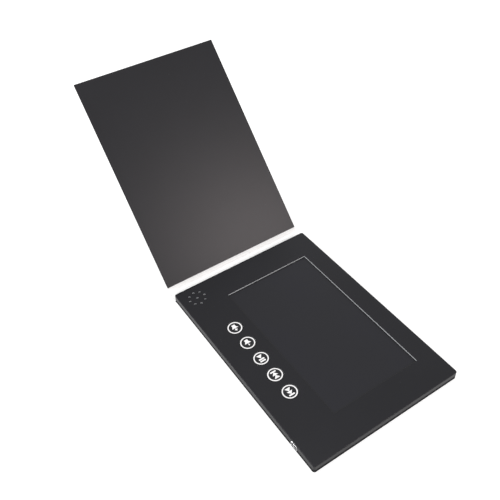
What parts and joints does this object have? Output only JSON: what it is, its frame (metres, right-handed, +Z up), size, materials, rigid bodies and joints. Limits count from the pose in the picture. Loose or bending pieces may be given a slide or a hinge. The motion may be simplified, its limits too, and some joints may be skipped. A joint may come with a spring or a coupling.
{
  "type": "lcd video brochure",
  "caption": "Black card folder with a flat screen, round play buttons, speaker holes and a charging socket in its base panel, and a thin cover on a creased spine.",
  "frame": {"origin": "centre of the base panel's underside, on the table", "axes": "+X from the hinge edge to the free edge, +Y from the button edge to the far long edge, +Z up out of the screen; the cover is shown open, 46 degrees above the table"},
  "size_m": [0.3668, 0.1484, 0.1548],
  "materials": {
    "black_sheet": "satin",
    "grey_board": "matte",
    "white_board": "matte",
    "white_lining": "matte",
    "foam": "matte",
    "tape": "matte",
    "screen_glass": "gloss",
    "bright_metal": "satin",
    "backlight_tray": "satin",
    "flex_film": "gloss",
    "battery_foil": "satin",
    "red_insulation": "satin",
    "black_insulation": "satin",
    "circuit_board": "satin",
    "black_package": "matte",
    "component_tan": "satin",
    "ivory_plastic": "satin",
    "magnet_plate": "polished",
    "cone_paper": "matte",
    "gauze": "matte",
    "ribbon_cable": "satin",
    "button_cap": "satin",
    "white_print": "matte",
    "plunger_plastic": "satin"
  },
  "bodies": {
    "base": {"base_wrap": "black_sheet", "back_board": "grey_board", "side_frame": "grey_board", "foam_insert": "foam", "front_board": "white_board", "face_sheet": "black_sheet", "screen_tape": "tape", "screen_glass": "screen_glass", "screen_backlight": "backlight_tray", "screen_flex": "flex_film", "battery_cell": "battery_foil", "battery_tape": "tape", "battery_lead_red": "red_insulation", "battery_lead_black": "black_insulation", "main_board": "circuit_board", "board_tape": "tape", "processor_chip": "black_package", "memory_chip": "black_package", "power_coil": "black_package", "board_passives": "component_tan", "screen_connector": "ivory_plastic", "battery_connector": "ivory_plastic", "speaker_connector": "ivory_plastic", "magnet_sensor": "black_package", "usb_shell": "bright_metal", "usb_insulator": "black_package", "speaker_basket": "bright_metal", "speaker_magnet": "bright_metal", "speaker_cone": "cone_paper", "speaker_gasket": "foam", "speaker_gauze": "gauze", "speaker_lead_red": "red_insulation", "speaker_lead_black": "black_insulation", "button_board": "circuit_board", "switch_housings": "bright_metal", "button_ribbon": "ribbon_cable"},
    "volume_up_key": {"volume_up_button": "button_cap", "volume_up_print": "white_print", "volume_up_plunger": "plunger_plastic"},
    "volume_down_key": {"volume_down_button": "button_cap", "volume_down_print": "white_print", "volume_down_plunger": "plunger_plastic"},
    "play_key": {"play_button": "button_cap", "play_print": "white_print", "play_plunger": "plunger_plastic"},
    "previous_key": {"previous_button": "button_cap", "previous_print": "white_print", "previous_plunger": "plunger_plastic"},
    "next_key": {"next_button": "button_cap", "next_print": "white_print", "next_plunger": "plunger_plastic"},
    "spine": {"spine_wrap": "black_sheet", "spine_lining": "white_lining"},
    "cover": {"cover_wrap": "black_sheet", "cover_lining": "white_lining", "cover_card": "grey_board", "cover_liner": "black_sheet", "cover_magnet": "magnet_plate"}
  },
  "joints": [
    {"name": "spine_crease", "type": "hinge", "parent": "base", "child": "spine", "pos_m": [-0.1059, 0, 0.0002], "axis": [0, 1, 0], "range_deg": [-13.4, 76.6]},
    {"name": "cover_crease", "type": "hinge", "parent": "spine", "child": "cover", "pos_m": [-0.11514, 0, 0.0024], "axis": [0, 1, 0], "range_deg": [-32.6, 57.4]},
    {"name": "volume_up_press", "type": "slide", "parent": "base", "child": "volume_up_key", "axis": [0, 0, -1], "range_m": [0, 0.00035], "stiffness_N_per_m": 5000},
    {"name": "volume_down_press", "type": "slide", "parent": "base", "child": "volume_down_key", "axis": [0, 0, -1], "range_m": [0, 0.00035], "stiffness_N_per_m": 5000},
    {"name": "play_press", "type": "slide", "parent": "base", "child": "play_key", "axis": [0, 0, -1], "range_m": [0, 0.00035], "stiffness_N_per_m": 5000},
    {"name": "previous_press", "type": "slide", "parent": "base", "child": "previous_key", "axis": [0, 0, -1], "range_m": [0, 0.00035], "stiffness_N_per_m": 5000},
    {"name": "next_press", "type": "slide", "parent": "base", "child": "next_key", "axis": [0, 0, -1], "range_m": [0, 0.00035], "stiffness_N_per_m": 5000}
  ]
}
